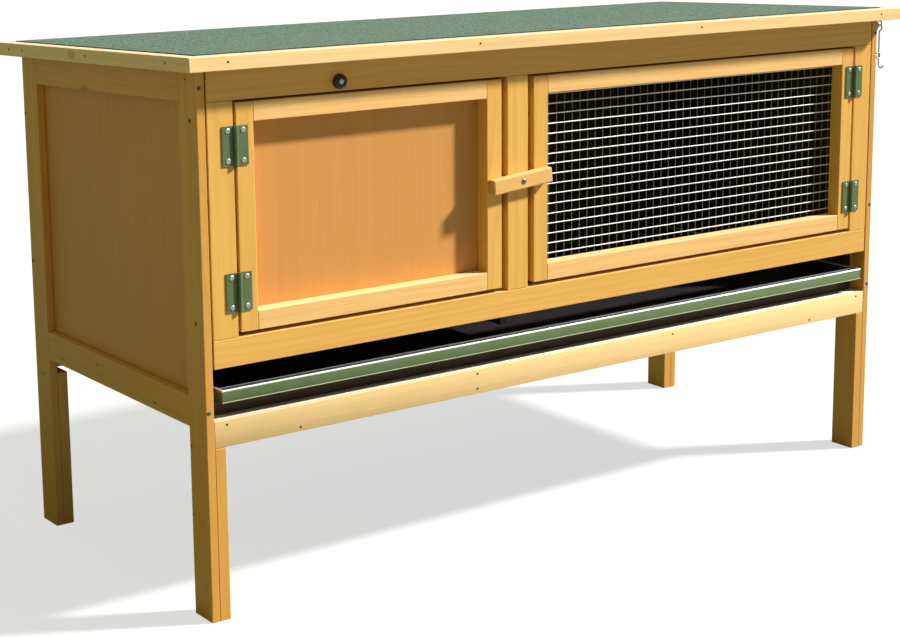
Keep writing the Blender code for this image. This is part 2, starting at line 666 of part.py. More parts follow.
def build_bumper():
    """A round rubber bumper on the front top rail, with a recess for its screw."""
    y = FRONT - JOINT_GAP
    z = FRONT_RAIL_UNDER + BUMPER_RADIUS + BUMPER_RISE
    rim = BUMPER_DEPTH * BUMPER_RIM
    profile = [(0, 0), (BUMPER_RADIUS, 0), (BUMPER_RADIUS, rim)]
    for step in range(1, 6):
        angle = math.pi / 2 * step / 6
        across = BUMPER_RECESS_RADIUS + (BUMPER_RADIUS - BUMPER_RECESS_RADIUS) * math.cos(angle)
        profile.append((across, rim + (BUMPER_DEPTH - rim) * math.sin(angle)))
    recess_floor = BUMPER_DEPTH - BUMPER_RECESS_DEPTH
    profile.append((BUMPER_RECESS_RADIUS, BUMPER_DEPTH))
    profile.append((BUMPER_RECESS_RADIUS * 0.8, recess_floor))
    profile.append((0, recess_floor))
    work = bmesh.new()
    points = [work.verts.new((across, -height, 0)) for across, height in profile]
    edges = [work.edges.new(pair) for pair in zip(points, points[1:])]
    bmesh.ops.spin(
        work,
        geom=points + edges,
        axis=(0, 1, 0),
        cent=(0, 0, 0),
        steps=BUMPER_STEPS,
        angle=math.tau,
        use_merge=True,
    )
    bmesh.ops.remove_doubles(work, verts=work.verts, dist=0.00001)
    bmesh.ops.translate(work, verts=work.verts, vec=(BUMPER_X, y, z))
    add_piece("front_bumper", mesh_of(work), BLACK, rounded=0, smooth=True)


def build_hutch():
    """Builds every piece of the hutch."""
    clear_scene()
    for side, word in ((-1, "left"), (1, "right")):
        build_side(side, word)
        build_legs(side, word)
    build_front_frame()
    build_back()
    build_divider()
    build_tray_supports()
    build_tray()
    opening = OPENING_SIDE - DOOR_HINGE_GAP
    build_door("left", -opening, POST_X - POST_WIDTH / 2 - DOOR_LATCH_GAP, -1)
    build_door("right", POST_X + POST_WIDTH / 2 + DOOR_LATCH_GAP, opening, 1)
    build_latch()
    build_roof()
    build_bumper()


build_hutch()
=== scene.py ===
"""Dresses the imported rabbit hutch: timber, felt, sheet metal, welded wire, screws and a plain studio stage.

The file is laid out as a Blender add-on. Run as a script, it registers its classes, calls the operators in
order and leaves a finished scene. All lengths are in metres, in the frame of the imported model.
"""

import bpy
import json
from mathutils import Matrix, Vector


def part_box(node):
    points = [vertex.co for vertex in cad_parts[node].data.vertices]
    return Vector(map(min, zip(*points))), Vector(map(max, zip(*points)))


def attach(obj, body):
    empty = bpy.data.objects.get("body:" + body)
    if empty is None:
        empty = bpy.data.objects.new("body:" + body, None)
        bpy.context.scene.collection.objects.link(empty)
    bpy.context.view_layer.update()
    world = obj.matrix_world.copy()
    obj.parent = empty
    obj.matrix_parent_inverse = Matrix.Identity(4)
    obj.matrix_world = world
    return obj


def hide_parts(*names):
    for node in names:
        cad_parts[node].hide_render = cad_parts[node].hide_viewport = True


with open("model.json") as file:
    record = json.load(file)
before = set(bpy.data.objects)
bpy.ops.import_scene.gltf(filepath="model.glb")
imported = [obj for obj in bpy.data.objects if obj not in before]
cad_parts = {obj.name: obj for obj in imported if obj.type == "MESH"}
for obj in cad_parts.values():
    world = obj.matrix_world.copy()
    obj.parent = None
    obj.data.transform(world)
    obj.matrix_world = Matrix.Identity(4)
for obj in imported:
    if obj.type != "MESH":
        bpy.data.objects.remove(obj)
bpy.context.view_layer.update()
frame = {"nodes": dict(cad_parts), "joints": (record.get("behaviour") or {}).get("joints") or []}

import json
import math
import random

import bmesh
import bpy
from bpy.props import FloatProperty, FloatVectorProperty, PointerProperty
from mathutils import Matrix, Vector, noise

bl_info = {
    "name": "Rabbit hutch dresser",
    "version": (1, 0, 0),
    "blender": (4, 5, 0),
    "location": "View3D > Sidebar > Hutch",
    "description": "Finishes and small fittings for a packed rabbit hutch",
    "category": "Object",
}

NODES = frame["nodes"]
JOINTS = {joint["name"]: joint for joint in frame["joints"]}
X, Y, Z = Vector((1, 0, 0)), Vector((0, 1, 0)), Vector((0, 0, 1))
GRAIN_TURNS = {"X": (0, math.pi / 2, 0), "Y": (math.pi / 2, 0, 0), "Z": (0, 0, 0)}
COLOUR = {"subtype": "COLOR", "min": 0, "max": 1}
# How far the roof falls towards the back, for each metre of depth.
ROOF_FALL = 0.043

# The tone, metallic share and roughness of each bare metal.
METALS = {
    "hook_zinc": ((0.40, 0.38, 0.35), 0.9, 0.38),
    "eye_zinc": ((0.42, 0.40, 0.36), 0.85, 0.38),
    "screw_zinc": ((0.72, 0.73, 0.72), 0.75, 0.30),
    "fitting_zinc": ((0.66, 0.66, 0.64), 0.8, 0.30),
    "worn_zinc": ((0.30, 0.29, 0.26), 0.8, 0.34),
    "frame_screw_steel": ((0.16, 0.13, 0.11), 0.5, 0.45),
    "brad_steel": ((0.085, 0.060, 0.042), 0.4, 0.5),
    # One galvanised wire in two tones: painted light for the level wires, painted shade for the uprights and
    # staples.
    "painted_lit_wire": ((0.92, 0.92, 0.92), 0.20, 0.32),
    "painted_shade_wire": ((0.20, 0.19, 0.17), 0.40, 0.46),
    # The rim's near white is a painted highlight; the hem is only pale grey.
    "painted_highlight_rim": ((0.86, 0.90, 0.86), 0.25, 0.28),
    "pale_hem": ((0.42, 0.42, 0.30), 0.10, 0.45),
    # The lip's grey is a painted highlight along its inner edge.
    "painted_highlight_lip": ((0.13, 0.16, 0.15), 0.10, 0.50),
}


# ---- Sizes and colours that a user would change ----


class HutchColours(bpy.types.PropertyGroup):
    """Base colours of the hutch's finishes."""

    frame_timber: FloatVectorProperty(
        name="Frame timber", description="Frame and door stiles", default=(0.76, 0.42, 0.088), **COLOUR
    )
    leg_timber: FloatVectorProperty(
        name="Leg timber", description="Legs and side frames", default=(0.66, 0.33, 0.060), **COLOUR
    )
    pale_timber: FloatVectorProperty(
        name="Pale timber", description="Roof edges and bottom rail", default=(0.86, 0.585, 0.265), **COLOUR
    )
    # Paler than the board in front: partly the batten's own tone, partly painted light on its top, which the
    # tray shades.
    batten_timber_and_light: FloatVectorProperty(
        name="Batten timber", description="Batten of the bottom rail", default=(0.96, 0.80, 0.46), **COLOUR
    )
    door_rail_timber: FloatVectorProperty(
        name="Door rail timber", description="Door rails and latch", default=(0.86, 0.52, 0.185), **COLOUR
    )
    wall_board: FloatVectorProperty(
        name="Wall board", description="Thin wall and door panels", default=(0.60, 0.27, 0.060), **COLOUR
    )
    # Painted shade: near black, it stands in for the shade inside the rooms.
    painted_room_shade: FloatVectorProperty(
        name="Room board", description="Inner faces of the rooms", default=(0.050, 0.032, 0.018), **COLOUR
    )
    felt: FloatVectorProperty(
        name="Roof felt", description="Granules of the felt", default=(0.125, 0.215, 0.155), **COLOUR
    )
    green_paint: FloatVectorProperty(
        name="Green paint", description="Hinges and tray", default=(0.115, 0.18, 0.072), **COLOUR
    )
    # Painted shade: near black, it stands in for the shade inside the tray.
    tray_inside: FloatVectorProperty(
        name="Tray inside", description="Inner faces of the tray", default=(0.030, 0.026, 0.029), **COLOUR
    )


class HutchSizes(bpy.types.PropertyGroup):
    """Sizes of the small fittings."""

    wire_pitch: FloatProperty(
        name="Wire pitch", description="Spacing of the welded wires", default=0.0127, unit="LENGTH"
    )
    level_wire: FloatProperty(
        name="Level wire", description="Thickness of the mesh's level wires", default=0.0015, unit="LENGTH"
    )
    upright_wire: FloatProperty(
        name="Upright wire", description="Thickness of its upright wires", default=0.0010, unit="LENGTH"
    )
    hinge_screw_radius: FloatProperty(
        name="Hinge screw", description="Radius of a hinge screw's head", default=0.0030, unit="LENGTH"
    )
    frame_screw_radius: FloatProperty(
        name="Frame screw", description="Radius of a frame screw's head", default=0.0024, unit="LENGTH"
    )
    brad_radius: FloatProperty(
        name="Brad", description="Radius of a brad's head", default=0.0014, unit="LENGTH"
    )
    tray_sheet: FloatProperty(
        name="Tray sheet", description="Thickness of the tray's sheet metal", default=0.0012, unit="LENGTH"
    )
    front_board: FloatProperty(
        name="Front board", description="Thickness of the bottom rail's board", default=0.006, unit="LENGTH"
    )
    felt_relief: FloatProperty(
        name="Felt relief", description="Height of the felt's waves", default=0.0005, unit="LENGTH"
    )


class HutchStage(bpy.types.PropertyGroup):
    """The studio light."""

    key_strength: FloatProperty(name="Key strength", description="Strength of the key light", default=6.6)
    key_softness: FloatProperty(
        name="Key softness", description="Angle the key fills", default=math.radians(5), subtype="ANGLE"
    )
    fill_strength: FloatProperty(
        name="Fill strength", description="Strength of the light from all round", default=0.24
    )


# ---- Shader building ----


def new_material(name):
    """A material with its node tree and its Principled shader."""
    material = bpy.data.materials.new(name)
    material.use_nodes = True
    tree = material.node_tree
    return material, tree, tree.nodes["Principled BSDF"]


def add(tree, kind, sockets=None, **settings):
    """A shader node of a kind. A socket's value is a number, a tuple or another node's output."""
    made = tree.nodes.new("ShaderNode" + kind)
    for setting, value in settings.items():
        setattr(made, setting, value)
    for socket, value in (sockets or {}).items():
        if isinstance(value, bpy.types.NodeSocket):
            tree.links.new(value, made.inputs[socket])
        else:
            made.inputs[socket].default_value = value
    return made


def calc(tree, operation, first, second=0.0, clamp=False):
    """The output of one Math node."""
    made = add(tree, "Math", {0: first, 1: second}, operation=operation, use_clamp=clamp)
    return made.outputs[0]


def ranged(tree, value, low, high, to_low=0.0, to_high=1.0):
    """A value moved from one range to another, and kept inside it."""
    sockets = {"Value": value, "From Min": low, "From Max": high, "To Min": to_low, "To Max": to_high}
    return add(tree, "MapRange", sockets, clamp=True).outputs["Result"]


def mixed(tree, factor, first, second, how="MIX"):
    """Two colours mixed by a factor."""
    made = add(tree, "Mix", data_type="RGBA", blend_type=how, clamp_factor=True)
    for place, value in ((0, factor), (6, first), (7, second)):
        if isinstance(value, bpy.types.NodeSocket):
            tree.links.new(value, made.inputs[place])
        else:
            made.inputs[place].default_value = value
    return made.outputs[2]


def cloud(tree, vector, scale, detail=2.0, roughness=0.5):
    """The value of a noise texture."""
    sockets = {"Vector": vector, "Scale": scale, "Detail": detail, "Roughness": roughness}
    return add(tree, "TexNoise", sockets).outputs["Fac"]


def stretched(tree, vector, scale, turn=(0, 0, 0)):
    """Coordinates turned and then scaled."""
    turned = add(tree, "Mapping", {"Vector": vector, "Rotation": turn}).outputs[0]
    return add(tree, "Mapping", {"Vector": turned, "Scale": scale}).outputs[0]


def edge_wear(tree, radius, patches):
    """How much an edge is rubbed, from 0 on a flat face to 1 on a corner, broken up by patches."""
    rounded = add(tree, "Bevel", {"Radius": radius}, samples=6).outputs["Normal"]
    flat = add(tree, "NewGeometry").outputs["Normal"]
    turn = add(tree, "VectorMath", {0: rounded, 1: flat}, operation="DOT_PRODUCT").outputs["Value"]
    return calc(tree, "MULTIPLY", ranged(tree, turn, 0.995, 0.80), patches, clamp=True)


def set_bump(tree, shader, height, strength, distance):
    """Links a height to the shader's normal."""
    sockets = {"Height": height, "Strength": strength, "Distance": distance}
    tree.links.new(add(tree, "Bump", sockets).outputs["Normal"], shader.inputs["Normal"])


def shade(colour, by):
    """A colour with each channel multiplied."""
    return tuple(min(1.0, channel * factor) for channel, factor in zip(colour, by)) + (1.0,)


_timbers = {}


def timber(word, tone, along, figure=1.0, ring_scale=46.0, room=None):
    """Softwood with growth rings, fibres, blotches, small knots, dark end grain and rubbed edges.

    word names the finish, along is the axis of its grain and figure says how strongly the grain shows. room
    holds the dark tone painted as shade on the faces that look into a room, the way they look (1 or -1) and
    its axis.
    """
    name = f"{word}_grain_{along.lower()}"
    if name in _timbers:
        return _timbers[name]
    material, tree, shader = new_material(name)
    surface = add(tree, "TexCoord")
    board = add(tree, "ObjectInfo").outputs["Random"]
    # Each board is cut from its own part of the log.
    moves = {axis: calc(tree, "MULTIPLY", board, far) for axis, far in enumerate((3.7, 9.1, 5.3))}
    cut = add(tree, "CombineXYZ", moves).outputs[0]
    moved = add(tree, "VectorMath", {0: surface.outputs["Object"], 1: cut}, operation="ADD")
    place = moved.outputs[0]
    turn = GRAIN_TURNS[along]
    lengthwise = stretched(tree, place, (1, 1, 1), turn)
    # Rings run along the board and wander a little.
    slow_place = stretched(tree, place, (9, 9, 1.6), turn)
    slow = add(tree, "TexNoise", {"Vector": slow_place, "Scale": 1.0, "Detail": 1.5})
    sway = {0: slow.outputs["Color"], 1: (0.045, 0.045, 0.0)}
    drift = add(tree, "VectorMath", sway, operation="MULTIPLY").outputs[0]
    wandering = add(tree, "VectorMath", {0: lengthwise, 1: drift}, operation="ADD").outputs[0]
    rings = add(
        tree,
        "TexWave",
        {"Vector": wandering, "Scale": ring_scale, "Distortion": 0.8, "Detail": 2.0, "Detail Scale": 0.6},
        wave_type="RINGS",
        rings_direction="Z",
        wave_profile="SAW",
    ).outputs["Fac"]
    late_wood = calc(tree, "POWER", rings, 2.4)
    fibres = cloud(tree, stretched(tree, place, (820, 820, 16), turn), 1.0, 3.0, 0.62)
    streaks = cloud(tree, stretched(tree, place, (130, 130, 3.0), turn), 1.0, 3.0, 0.55)
    blotches = cloud(tree, place, 7.0, 2.0)
    light, dark = shade(tone, (1.06, 1.08, 1.12)), shade(tone, (0.74, 0.62, 0.46))
    knotted, sawn = shade(tone, (0.42, 0.27, 0.20)), shade(tone, (0.58, 0.48, 0.42))
    sunlit, rubbed = shade(tone, (1.25, 1.50, 2.3)), shade(tone, (1.25, 1.55, 2.5))
    depth = calc(tree, "MULTIPLY", late_wood, 0.20 * figure)
    depth = calc(tree, "ADD", depth, ranged(tree, fibres, 0.35, 0.80, 0.0, 0.26 * figure))
    depth = calc(tree, "ADD", depth, ranged(tree, streaks, 0.40, 0.75, 0.0, 0.22 * figure))
    depth = calc(tree, "ADD", depth, ranged(tree, blotches, 0.35, 0.70, 0.0, 0.10), clamp=True)
    colour = mixed(tree, depth, light, dark)
    # A few small knots, longer along the grain.
    knot_place = stretched(tree, place, (7, 7, 3.2), turn)
    knots = add(tree, "TexVoronoi", {"Vector": knot_place, "Scale": 1.0}).outputs["Distance"]
    knot = calc(tree, "MULTIPLY", ranged(tree, knots, 0.050, 0.024), 0.62 * min(1.0, figure))
    colour = mixed(tree, knot, colour, knotted)
    # Sawn ends are darker than the faces.
    facing = add(tree, "SeparateXYZ", {0: surface.outputs["Normal"]})
    end = ranged(tree, calc(tree, "ABSOLUTE", facing.outputs[along]), 0.86, 0.97)
    colour = mixed(tree, calc(tree, "MULTIPLY", end, 0.55), colour, sawn)
    # Faces that look up are painted lighter, as painted light from above.
    painted_top_light = calc(tree, "MULTIPLY", ranged(tree, facing.outputs["Z"], 0.80, 0.97), 0.55)
    colour = mixed(tree, painted_top_light, colour, sunlit)
    # Faces that look into a room are painted dark, as painted shade.
    if room:
        room_shade_tone, way, axis = room
        inward = ranged(tree, calc(tree, "MULTIPLY", facing.outputs[axis], way), 0.30, 0.80)
        grained = mixed(tree, depth, shade(room_shade_tone, (1.1, 1.1, 1.1)), shade(room_shade_tone, (0.6, 0.6, 0.6)))
        colour = mixed(tree, inward, colour, grained)
    patches = ranged(tree, cloud(tree, place, 38.0, 2.0), 0.36, 0.62, 0.45, 1.0)
    wear = edge_wear(tree, 0.0016, patches)
    colour = mixed(tree, calc(tree, "MULTIPLY", wear, 0.75), colour, rubbed)
    tree.links.new(colour, shader.inputs["Base Color"])
    roughness = ranged(tree, fibres, 0.3, 0.75, 0.44, 0.60)
    roughness = calc(tree, "ADD", roughness, calc(tree, "MULTIPLY", end, 0.20))
    tree.links.new(roughness, shader.inputs["Roughness"])
    ridges = calc(tree, "MULTIPLY", late_wood, 0.35)
    relief = calc(tree, "ADD", calc(tree, "MULTIPLY", fibres, 0.7), ridges)
    set_bump(tree, shader, calc(tree, "SUBTRACT", relief, knot), 0.32, 0.0005)
    _timbers[name] = material
    return material


def felt_finish(colour):
    """Mineral-faced roof felt: coarse granules of several greens in a dark bitumen sheet."""
    material, tree, shader = new_material("mineral_felt")
    surface = add(tree, "TexCoord")
    place = surface.outputs["Object"]
    cells = add(tree, "TexVoronoi", {"Vector": place, "Scale": 560.0})
    tint = add(tree, "SeparateColor", {0: cells.outputs["Color"]}).outputs[0]
    dark_grain, bright_grain = shade(colour, (0.34, 0.44, 0.42)), shade(colour, (1.9, 1.55, 1.7))
    bitumen, cut_edge = (0.035, 0.05, 0.04, 1), (0.030, 0.045, 0.035, 1)
    speck = mixed(tree, ranged(tree, tint, 0.15, 0.95), dark_grain, bright_grain)
    bare = ranged(tree, cloud(tree, place, 210.0, 3.0, 0.7), 0.60, 0.72)
    speck = mixed(tree, calc(tree, "MULTIPLY", bare, 0.55), speck, bitumen)
    patch = ranged(tree, cloud(tree, place, 5.0, 3.0), 0.35, 0.68, 0.0, 0.35)
    speck = mixed(tree, patch, speck, shade(colour, (1.15, 1.0, 0.95)))
    up = add(tree, "SeparateXYZ", {0: surface.outputs["Normal"]}).outputs["Z"]
    side = ranged(tree, up, 0.80, 0.45)
    speck = mixed(tree, side, speck, cut_edge)
    tree.links.new(speck, shader.inputs["Base Color"])
    shader.inputs["Roughness"].default_value = 0.92
    shader.inputs["Specular IOR Level"].default_value = 0.25
    height = calc(tree, "SUBTRACT", tint, calc(tree, "MULTIPLY", cells.outputs["Distance"], 0.9))
    set_bump(tree, shader, height, 0.65, 0.0009)
    return material


def paint_finish(name, colour):
    """Satin paint on sheet steel, with a fine skin, dust and rubbed edges."""
    material, tree, shader = new_material(name)
    place = add(tree, "TexCoord").outputs["Object"]
    skin = cloud(tree, place, 900.0, 2.0, 0.6)
    dust = cloud(tree, place, 34.0, 4.0, 0.65)
    dusty, deep = shade(colour, (1.45, 1.22, 1.5)), shade(colour, (0.6, 0.65, 0.6))
    base = mixed(tree, ranged(tree, dust, 0.42, 0.72, 0.0, 0.42), (*colour, 1.0), dusty)
    base = mixed(tree, ranged(tree, skin, 0.55, 0.75, 0.0, 0.25), base, deep)
    patches = ranged(tree, cloud(tree, place, 120.0, 3.0, 0.7), 0.40, 0.60, 0.15, 1.0)
    wear = edge_wear(tree, 0.0009, patches)
    base = mixed(tree, calc(tree, "MULTIPLY", wear, 0.60), base, shade(colour, (3.6, 2.9, 4.2)))
    tree.links.new(base, shader.inputs["Base Color"])
    tree.links.new(ranged(tree, dust, 0.3, 0.75, 0.30, 0.50), shader.inputs["Roughness"])
    shader.inputs["Coat Weight"].default_value = 0.18
    shader.inputs["Coat Roughness"].default_value = 0.22
    set_bump(tree, shader, skin, 0.16, 0.0003)
    return material


def bare_metal(name):
    """One of METALS, with faint spangles, fine scratches and dull patches."""
    tone, metallic, rough = METALS[name]
    material, tree, shader = new_material(name)
    place = add(tree, "TexCoord").outputs["Object"]
    spangle = add(tree, "TexVoronoi", {"Vector": place, "Scale": 420.0}).outputs["Color"]
    flake = add(tree, "SeparateColor", {0: spangle}).outputs[0]
    scratch = cloud(tree, stretched(tree, place, (300, 2400, 900)), 1.0, 3.0, 0.7)
    dimmed = cloud(tree, place, 160.0, 3.0, 0.6)
    base = mixed(tree, ranged(tree, flake, 0, 1, 0.0, 0.30), (*tone, 1), shade(tone, (0.74, 0.76, 0.80)))
    base = mixed(tree, ranged(tree, dimmed, 0.55, 0.75, 0.0, 0.45), base, shade(tone, (0.55, 0.54, 0.52)))
    tree.links.new(base, shader.inputs["Base Color"])
    shader.inputs["Metallic"].default_value = metallic
    tree.links.new(ranged(tree, scratch, 0.3, 0.7, rough - 0.10, rough + 0.14), shader.inputs["Roughness"])
    set_bump(tree, shader, calc(tree, "ADD", scratch, dimmed), 0.14, 0.0002)
    return material


def rubber_finish():
    """Black moulded rubber with a faint bloom."""
    material, tree, shader = new_material("black_rubber")
    place = add(tree, "TexCoord").outputs["Object"]
    grain = cloud(tree, place, 1400.0, 3.0, 0.6)
    bloom = cloud(tree, place, 150.0, 3.0, 0.6)
    black, bloomed = (0.012, 0.012, 0.013, 1), (0.045, 0.045, 0.047, 1)
    base = mixed(tree, ranged(tree, bloom, 0.4, 0.75, 0.0, 0.55), black, bloomed)
    tree.links.new(base, shader.inputs["Base Color"])
    tree.links.new(ranged(tree, bloom, 0.3, 0.7, 0.26, 0.46), shader.inputs["Roughness"])
    set_bump(tree, shader, grain, 0.22, 0.0002)
    return material


def finish_node(name, material):
    """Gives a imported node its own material."""
    slots = NODES[name].material_slots
    if not slots:
        NODES[name].data.materials.append(material)
    for held in slots:
        held.material = material


def smooth_node(name, angle=40.0):
    """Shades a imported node's round faces smoothly. Its shape stays as packed."""
    NODES[name].data.shade_smooth()
    NODES[name].data.set_sharp_from_angle(angle=math.radians(angle))


# ---- Mesh building ----


def mesh_from(work, name):
    """A new mesh from a bmesh, with its normals facing out."""
    bmesh.ops.recalc_face_normals(work, faces=work.faces)
    mesh = bpy.data.meshes.new(name)
    work.to_mesh(mesh)
    work.free()
    return mesh


def add_piece(name, mesh, material, body, smooth=True):
    """Links a mesh as a named piece that rides on a body."""
    piece = bpy.data.objects.new(name, mesh)
    bpy.context.scene.collection.objects.link(piece)
    mesh.name = name
    mesh.materials.clear()
    mesh.materials.append(material)
    if smooth:
        mesh.shade_smooth()
        mesh.set_sharp_from_angle(angle=math.radians(35))
    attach(piece, body)
    return piece


def joined(meshes, name):
    """Several meshes as one."""
    work = bmesh.new()
    for mesh in meshes:
        work.from_mesh(mesh)
    whole = bpy.data.meshes.new(name)
    work.to_mesh(whole)
    work.free()
    return whole


def block(low, high, rounding=0.0):
    """A board with rounded edges."""
    work = bmesh.new()
    bmesh.ops.create_cube(work, size=1.0)
    low, high = Vector(low), Vector(high)
    size = Matrix.Diagonal((*(high - low), 1))
    bmesh.ops.transform(work, matrix=Matrix.Translation((low + high) / 2) @ size, verts=work.verts)
    if rounding:
        edges = work.edges[:]
        bmesh.ops.bevel(
            work, geom=edges, offset=rounding, segments=2, profile=0.5, affect="EDGES", clamp_overlap=True
        )
    return mesh_from(work, "board")


def tube(points, radius, sides=8):
    """A round wire through points, closed at both ends."""
    points = [Vector(point) for point in points]
    work = bmesh.new()
    rings = []
    across = None
    for index, point in enumerate(points):
        ahead = points[min(index + 1, len(points) - 1)] - points[max(index - 1, 0)]
        ahead.normalize()
        if across is None:
            across = ahead.orthogonal().normalized()
        across = (across - ahead * across.dot(ahead)).normalized()
        other = ahead.cross(across)
        ring = []
        for step in range(sides):
            angle = math.tau * step / sides
            outward = math.cos(angle) * across + math.sin(angle) * other
            ring.append(work.verts.new(point + radius * outward))
        rings.append(ring)
    for before, after in zip(rings, rings[1:]):
        for step in range(sides):
            following = (step + 1) % sides
            work.faces.new((before[step], before[following], after[following], after[step]))
    work.faces.new(rings[0])
    work.faces.new(rings[-1])
    return mesh_from(work, "wire")


def lathe(profile, steps=24):
    """A solid turned about Z from (radius, height) points that start and end on the axis."""
    work = bmesh.new()
    top, bottom = work.verts.new((0, 0, profile[0][1])), work.verts.new((0, 0, profile[-1][1]))
    rings = []
    for radius, height in profile[1:-1]:
        angles = [math.tau * step / steps for step in range(steps)]
        rings.append([work.verts.new((radius * math.cos(a), radius * math.sin(a), height)) for a in angles])
    for step in range(steps):
        after = (step + 1) % steps
        work.faces.new((top, rings[0][step], rings[0][after]))
        work.faces.new((bottom, rings[-1][after], rings[-1][step]))
        for upper, lower in zip(rings, rings[1:]):
            work.faces.new((upper[step], lower[step], lower[after], upper[after]))
    return mesh_from(work, "turned")


def cut_by(base, cutters):
    """A mesh with others cut from it."""
    holder = bpy.data.objects.new("holder", base)
    bpy.context.scene.collection.objects.link(holder)
    helpers = [holder]
    for cutter in cutters:
        helper = bpy.data.objects.new("cutter", cutter)
        bpy.context.scene.collection.objects.link(helper)
        step = holder.modifiers.new("cut", "BOOLEAN")
        step.operation, step.solver, step.object = "DIFFERENCE", "EXACT", helper
        helpers.append(helper)
    result = bpy.data.meshes.new_from_object(holder.evaluated_get(bpy.context.evaluated_depsgraph_get()))
    for helper in helpers:
        bpy.data.objects.remove(helper, do_unlink=True)
    return result


def cross_head(radius, height):
    """A domed screw head with a cross recess, standing on z = 0 and facing +Z."""
    profile = [(0, height)]
    for step in range(1, 7):
        angle = math.pi / 2 * step / 6
        profile.append((radius * math.sin(angle), height * (0.25 + 0.75 * math.cos(angle))))
    profile += [(radius * 0.97, 0), (0, 0)]
    arm, wide, deep = radius * 0.62, radius * 0.15, height * 0.35
    bars = [
        block((-arm, -wide, deep), (arm, wide, height * 2)),
        block((-wide, -arm, deep), (wide, arm, height * 2)),
        block((-wide * 1.9, -wide * 1.9, deep), (wide * 1.9, wide * 1.9, height * 2)),
    ]
    return cut_by(lathe(profile), bars)


def brad_head(radius, height):
    """A small flat nail head with a dimple, facing +Z."""
    dimple = [(0, height * 0.72), (radius * 0.42, height * 0.78)]
    shoulder = [(radius * 0.72, height), (radius * 0.95, height * 0.8)]
    return lathe(dimple + shoulder + [(radius, 0), (0, 0)], 14)


def scattered(head, places, facing):
    """Copies of a head at places, facing one way, each turned by its own angle."""
    copies = []
    turn_to = facing.to_track_quat("Z", "Y").to_matrix().to_4x4()
    for place in places:
        copy = head.copy()
        spin = Matrix.Rotation(random.uniform(0, math.tau), 4, "Z")
        copy.transform(Matrix.Translation(Vector(place)) @ turn_to @ spin)
        copies.append(copy)
    return copies


def spread(low, high, count):
    """Evenly spaced places from low to high."""
    return [low + (high - low) * index / (count - 1) for index in range(count)]


def middle(node):
    """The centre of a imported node's box."""
    low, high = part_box(node)
    return (low + high) / 2


# ---- The pieces, one operator each ----


class HUTCH_OT_timber(bpy.types.Operator):
    """Give every board its own grain and tone"""

    bl_idname = "hutch.timber"
    bl_label = "Timber"

    def execute(self, context):
        colours = context.scene.hutch_colours
        honey, leg, pale = colours.frame_timber, colours.leg_timber, colours.pale_timber
        # room is a painted shade tone for the faces and boards inside the rooms.
        rail, board, room = colours.door_rail_timber, colours.wall_board, colours.painted_room_shade
        for word, inward in (("left", 1), ("right", -1)):
            for end in ("front", "rear"):
                finish_node(f"side_stile_{end}_{word}", timber("leg_timber", leg, "Z"))
                finish_node(f"leg_{end}_{word}", timber("leg_timber", leg, "Z"))
            finish_node(f"side_top_rail_{word}", timber("leg_timber", leg, "Y"))
            finish_node(f"side_bottom_rail_{word}", timber("leg_timber", leg, "Y"))
            panel = timber(f"wall_board_{word}", board, "Z", 0.55, 26.0, (room, inward, "X"))
            finish_node(f"side_panel_{word}", panel)
            finish_node(f"tray_runner_{word}", timber("room_shade_timber", room, "Y"))
            finish_node(f"front_stile_{word}", timber("frame_timber", honey, "Z"))
            finish_node(f"fascia_{word}", timber("pale_timber", pale, "Y", 0.8))
            finish_node(f"{word}_door_hinge_stile", timber("frame_timber", honey, "Z"))
            finish_node(f"{word}_door_latch_stile", timber("frame_timber", honey, "Z"))
            finish_node(f"{word}_door_top_rail", timber("door_rail_timber", rail, "X"))
            finish_node(f"{word}_door_bottom_rail", timber("door_rail_timber", rail, "X"))
        finish_node("centre_post", timber("frame_timber", honey, "Z"))
        for name in ("front_top_rail", "front_mid_rail", "rear_top_rail", "rear_bottom_rail"):
            finish_node(name, timber("frame_timber", honey, "X"))
        # The tray rest is painted near black, as painted shade under the tray.
        finish_node("tray_rest", timber("shaded_rest_timber", shade(leg, (0.09, 0.09, 0.09))[:3], "X"))
        finish_node("back_panel", timber("wall_board_back", board, "Z", 0.55, 26.0, (room, -1, "Y")))
        finish_node("divider", timber("painted_room_shade", room, "Z", 0.6))
        finish_node("left_door_panel", timber("door_board", board, "Z", 0.45, 24.0))
        for name in ("fascia_front", "fascia_rear"):
            finish_node(name, timber("pale_timber", pale, "X", 0.8))
        finish_node("turn_latch", timber("latch_timber", shade(rail, (0.92, 0.86, 0.74))[:3], "X", 0.7))
        finish_node("roof_board", timber("roof_board", board, "X", 0.7))
        return {"FINISHED"}


class HUTCH_OT_metal(bpy.types.Operator):
    """Finish the hinges, the roof hook and the bumper"""

    bl_idname = "hutch.metal"
    bl_label = "Hinges, hook and bumper"

    def execute(self, context):
        paint = context.scene.hutch_colours.green_paint
        green = paint_finish("hinge_enamel", shade(paint, (0.80, 0.80, 0.80))[:3])
        for name in NODES:
            if "hinge" in name and name.endswith("leaf"):
                finish_node(name, green)
                smooth_node(name)
        hook_zinc = bare_metal("hook_zinc")
        for name in ("roof_hook", "roof_hook_eye"):
            finish_node(name, hook_zinc)
            smooth_node(name, 60.0)
        finish_node("front_bumper", rubber_finish())
        smooth_node("front_bumper")
        return {"FINISHED"}


